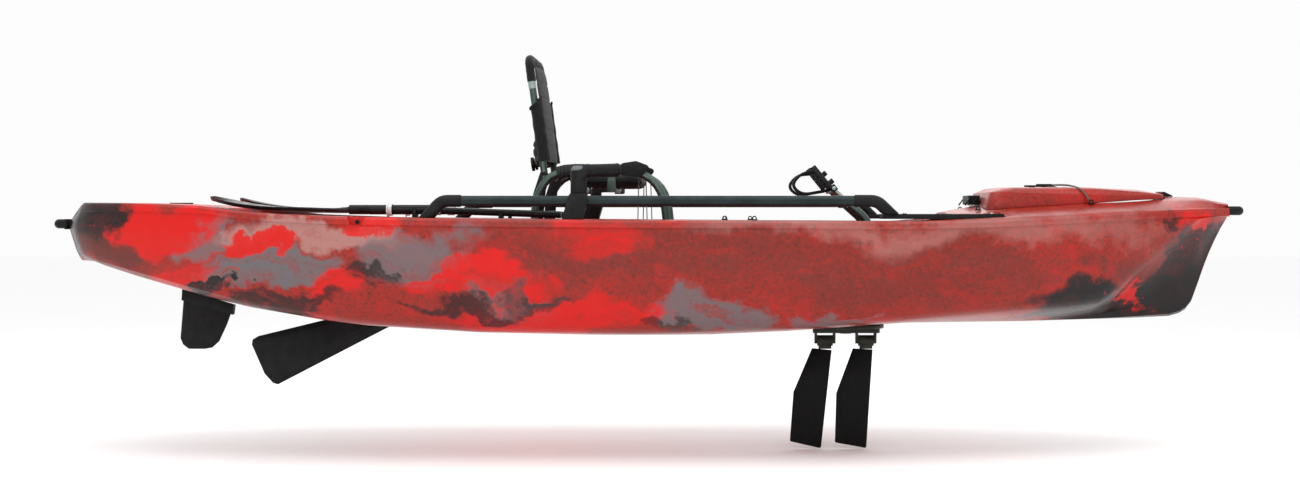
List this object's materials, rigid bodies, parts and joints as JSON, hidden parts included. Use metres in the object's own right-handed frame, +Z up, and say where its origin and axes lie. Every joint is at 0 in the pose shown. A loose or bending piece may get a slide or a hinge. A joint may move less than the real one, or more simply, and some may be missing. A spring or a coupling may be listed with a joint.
{
  "type": "pedal boat",
  "caption": "Sit-on-top pedal kayak with a framed mesh seat, swinging pedal cranks, steerable twin-fin drive, side rails, rudder, skeg and hatches.",
  "frame": {"origin": "on the centreline at half the hull's length, at the lowest line of the keel, where a cradle carries it", "axes": "+X to the bow, +Y to port, +Z up"},
  "size_m": [3.7395, 0.9132, 1.2258],
  "materials": {
    "moulded_hull": "rotomoulded, swirled colours",
    "deck_foam": "matt grooved foam",
    "black_moulding": "matt moulded",
    "rail_alloy": "teal anodised",
    "seat_tube": "grey-green anodised",
    "steel_fastener": "brushed",
    "seat_mesh": "woven mesh",
    "pad_fabric": "padded cloth",
    "cord": "braided cord",
    "drive_housing": "fine texture",
    "grip_cap": "satin",
    "fin_rubber": "ribbed flexible moulding",
    "crank_alloy": "grey-green anodised",
    "post_alloy": "satin anodised",
    "pedal_plastic": "matt moulded",
    "strap_webbing": "woven webbing",
    "paddle_blade": "satin moulded",
    "paddle_tube": "smooth fibre tube",
    "paddle_band": "smooth"
  },
  "bodies": {
    "hull": {"hull_shell": "moulded_hull", "deck_mats": "deck_foam", "drive_well_ring": "black_moulding", "rails": "rail_alloy", "rail_ends": "black_moulding", "mounting_boards": "black_moulding", "board_screws": "steel_fastener", "steering_base_right": "black_moulding", "steering_base_left": "black_moulding", "bow_handle": "black_moulding", "stern_handle": "black_moulding", "hatch_hinge": "black_moulding", "deck_fittings": "black_moulding", "paddle_clips": "black_moulding", "rudder_tube": "black_moulding", "skeg_pin": "steel_fastener", "stern_hatch_ring": "black_moulding", "seat_side_frames": "seat_tube", "seat_cross_tubes": "seat_tube", "seat_feet": "black_moulding", "seat_pan": "seat_mesh", "arm_sleeves": "deck_foam", "seat_corner_caps": "black_moulding", "recline_brackets": "black_moulding", "seat_cords": "cord", "drive_column": "drive_housing", "drive_head": "drive_housing", "crank_axle": "steel_fastener", "paddle_blades": "paddle_blade", "paddle_shafts": "paddle_tube", "paddle_rings": "paddle_band"},
    "bow_hatch": {"hatch_lid": "moulded_hull", "hatch_bungee": "cord", "hatch_latch": "black_moulding", "hatch_cleat": "black_moulding"},
    "stern_cover": {"stern_hatch_cover": "black_moulding"},
    "steering_handle": {"steering_grip": "black_moulding", "steering_grip_cap": "grip_cap"},
    "rudder_lever_arm": {"rudder_lever": "black_moulding"},
    "drive_turret": {"turret": "drive_housing", "lower_housing": "drive_housing"},
    "front_fin_swing": {"front_fin_hub": "drive_housing", "front_fin": "fin_rubber"},
    "rear_fin_swing": {"rear_fin_hub": "drive_housing", "rear_fin": "fin_rubber"},
    "right_crank": {"crank_right": "crank_alloy"},
    "left_crank": {"crank_left": "crank_alloy"},
    "right_post": {"crank_post_right": "post_alloy"},
    "left_post": {"crank_post_left": "post_alloy"},
    "right_pedal": {"pedal_right": "pedal_plastic", "pedal_strap_right": "strap_webbing"},
    "left_pedal": {"pedal_left": "pedal_plastic", "pedal_strap_left": "strap_webbing"},
    "rudder_head": {"rudder_stock": "black_moulding"},
    "rudder_kick": {"rudder_blade": "black_moulding"},
    "skeg": {"skeg_blade": "black_moulding"},
    "seat_back": {"back_frame": "seat_tube", "back_mesh": "seat_mesh", "lumbar_pad": "pad_fabric"},
    "lumbar_knob": {"lumbar_dial": "black_moulding"}
  },
  "joints": [
    {"name": "bow_hatch_hinge", "type": "hinge", "parent": "hull", "child": "bow_hatch", "pos_m": [1.617, 0, 0.43986], "axis": [0, 1, 0], "range_deg": [0, 75]},
    {"name": "stern_cover_turn", "type": "hinge", "parent": "hull", "child": "stern_cover", "pos_m": [-1.475, 0, 0.4], "axis": [0, 0, 1], "range_deg": [0, 90]},
    {"name": "steering_turn", "type": "hinge", "parent": "hull", "child": "steering_handle", "pos_m": [-0.193, -0.41, 0.45], "axis": [0, 0, 1], "continuous": true},
    {"name": "turret_turn", "type": "hinge", "parent": "hull", "child": "drive_turret", "pos_m": [0.619, 0, 0.03], "axis": [0, 0, 1], "continuous": true},
    {"name": "rudder_lever_turn", "type": "hinge", "parent": "hull", "child": "rudder_lever_arm", "pos_m": [-0.193, 0.41, 0.45], "axis": [0, 0, 1], "range_deg": [-35, 35]},
    {"name": "rudder_steer", "type": "hinge", "parent": "hull", "child": "rudder_head", "pos_m": [-1.37, 0, 0.1], "axis": [0, 0, 1], "range_deg": [-35, 35]},
    {"name": "rudder_kick_up", "type": "hinge", "parent": "rudder_head", "child": "rudder_kick", "pos_m": [-1.454, 0, 0.11749], "axis": [0, 1, 0], "range_deg": [0, 65]},
    {"name": "skeg_raise", "type": "hinge", "parent": "hull", "child": "skeg", "pos_m": [-0.786, 0, 0.07], "axis": [0, 1, 0], "range_deg": [0, 34]},
    {"name": "seat_back_fold", "type": "hinge", "parent": "hull", "child": "seat_back", "pos_m": [-0.312, 0, 0.489], "axis": [0, 1, 0], "range_deg": [-12, 62]},
    {"name": "lumbar_dial_turn", "type": "hinge", "parent": "seat_back", "child": "lumbar_knob", "pos_m": [-0.34422, 0, 0.53707], "axis": [-0.9907, 0, -0.1357], "range_deg": [0, 270]},
    {"name": "right_crank_swing", "type": "hinge", "parent": "hull", "child": "right_crank", "pos_m": [0.69, -0.098, 0.207], "axis": [0, 1, 0], "range_deg": [-28, 28]},
    {"name": "left_crank_swing", "type": "hinge", "parent": "hull", "child": "left_crank", "pos_m": [0.69, 0.098, 0.207], "axis": [0, 1, 0], "range_deg": [-28, 28]},
    {"name": "front_fin_turn", "type": "hinge", "parent": "drive_turret", "child": "front_fin_swing", "pos_m": [0.6835, 0, -0.022], "axis": [1, 0, 0], "range_deg": [-50.5, 50.5]},
    {"name": "rear_fin_turn", "type": "hinge", "parent": "drive_turret", "child": "rear_fin_swing", "pos_m": [0.5545, 0, -0.022], "axis": [1, 0, 0], "range_deg": [-50.5, 50.5]},
    {"name": "right_reach_slide", "type": "slide", "parent": "right_crank", "child": "right_post", "axis": [-0.7431, 0, 0.6691], "range_m": [-0.01, 0.04]},
    {"name": "left_reach_slide", "type": "slide", "parent": "left_crank", "child": "left_post", "axis": [-0.7431, 0, 0.6691], "range_m": [-0.01, 0.04]},
    {"name": "right_pedal_swivel", "type": "hinge", "parent": "right_post", "child": "right_pedal", "pos_m": [0.57164, -0.158, 0.45508], "axis": [0, 1, 0], "range_deg": [-20, 60]},
    {"name": "left_pedal_swivel", "type": "hinge", "parent": "left_post", "child": "left_pedal", "pos_m": [0.57164, 0.158, 0.45508], "axis": [0, 1, 0], "range_deg": [-20, 60]}
  ],
  "couplings": [
    {"joint": "turret_turn", "follows": "steering_turn", "ratio": 1},
    {"joint": "rudder_steer", "follows": "rudder_lever_turn", "ratio": 1},
    {"joint": "left_crank_swing", "follows": "right_crank_swing", "ratio": -1},
    {"joint": "front_fin_turn", "follows": "right_crank_swing", "ratio": 1.7857},
    {"joint": "rear_fin_turn", "follows": "right_crank_swing", "ratio": -1.7857}
  ]
}
